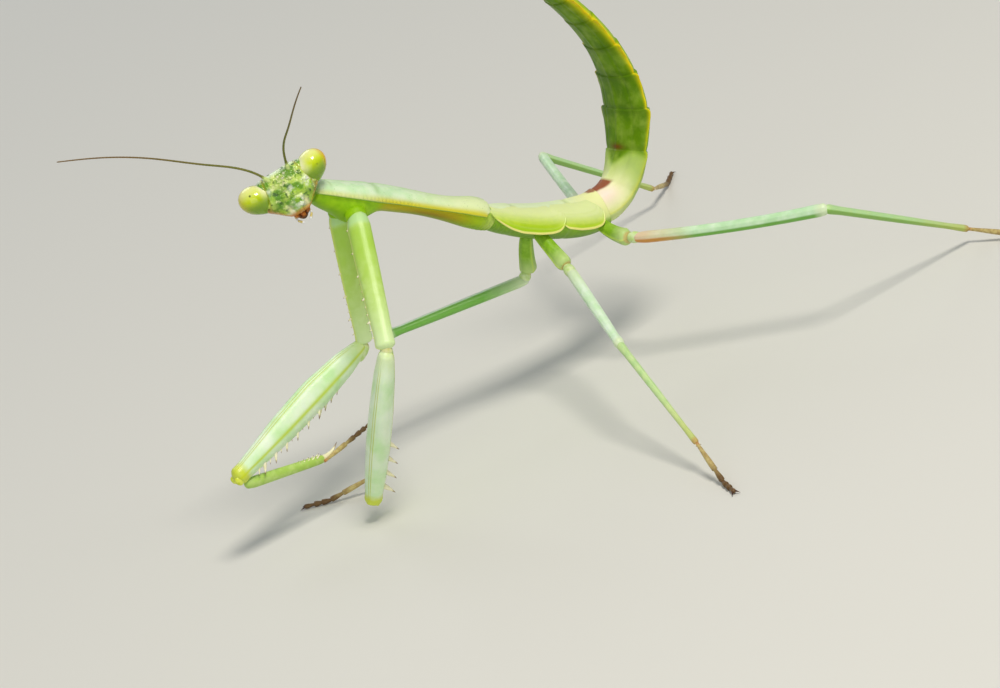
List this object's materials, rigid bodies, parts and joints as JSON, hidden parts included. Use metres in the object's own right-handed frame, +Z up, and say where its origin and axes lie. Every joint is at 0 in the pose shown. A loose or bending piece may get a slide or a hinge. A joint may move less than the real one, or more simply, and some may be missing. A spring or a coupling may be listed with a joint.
{
  "type": "praying mantis model",
  "caption": "Still life-size model of a young green praying mantis, abdomen curled up, forelegs reaching forward and down, standing on its walking legs.",
  "frame": {"origin": "centre of the bounding box in plan, at the level of the feet", "axes": "-Y towards the head, +X to the mantis's left, +Z up"},
  "size_m": [0.0386, 0.043, 0.0243],
  "materials": {
    "green": "satin",
    "pale_green": "satin",
    "eye_green": "gloss",
    "brown": "satin",
    "olive": "satin"
  },
  "bodies": {
    "root": {"head": "green", "eye_left": "eye_green", "eye_right": "eye_green", "mouthparts": "brown", "antenna_left_base": "olive", "antenna_left_tip": "olive", "antenna_right_base": "olive", "antenna_right_tip": "olive", "neck": "green", "pronotum": "green", "mesothorax": "green", "metathorax": "green", "wing_pad_fore_left": "green", "wing_pad_fore_right": "green", "wing_pad_hind_left": "green", "wing_pad_hind_right": "green", "abdomen_1": "green", "abdomen_2": "green", "abdomen_3": "green", "abdomen_4": "green", "abdomen_5": "green", "abdomen_6": "green", "abdomen_7": "green", "abdomen_8": "green", "abdomen_9": "green", "cercus_left": "green", "cercus_right": "green", "foreleg_left_coxa": "pale_green", "foreleg_left_trochanter": "pale_green", "foreleg_left_femur": "pale_green", "foreleg_left_tibia": "pale_green", "foreleg_left_tarsus": "olive", "foreleg_right_coxa": "pale_green", "foreleg_right_trochanter": "pale_green", "foreleg_right_femur": "pale_green", "foreleg_right_tibia": "pale_green", "foreleg_right_tarsus": "olive", "left_mid_coxa": "green", "left_mid_femur": "green", "left_mid_tibia": "green", "left_mid_tarsus": "brown", "left_hind_coxa": "green", "left_hind_femur": "green", "left_hind_tibia": "green", "left_hind_tarsus": "brown", "right_mid_coxa": "green", "right_mid_femur": "green", "right_mid_tibia": "green", "right_mid_tarsus": "brown", "right_hind_coxa": "green", "right_hind_femur": "green", "right_hind_tibia": "green", "right_hind_tarsus": "brown"}
  },
  "joints": []
}
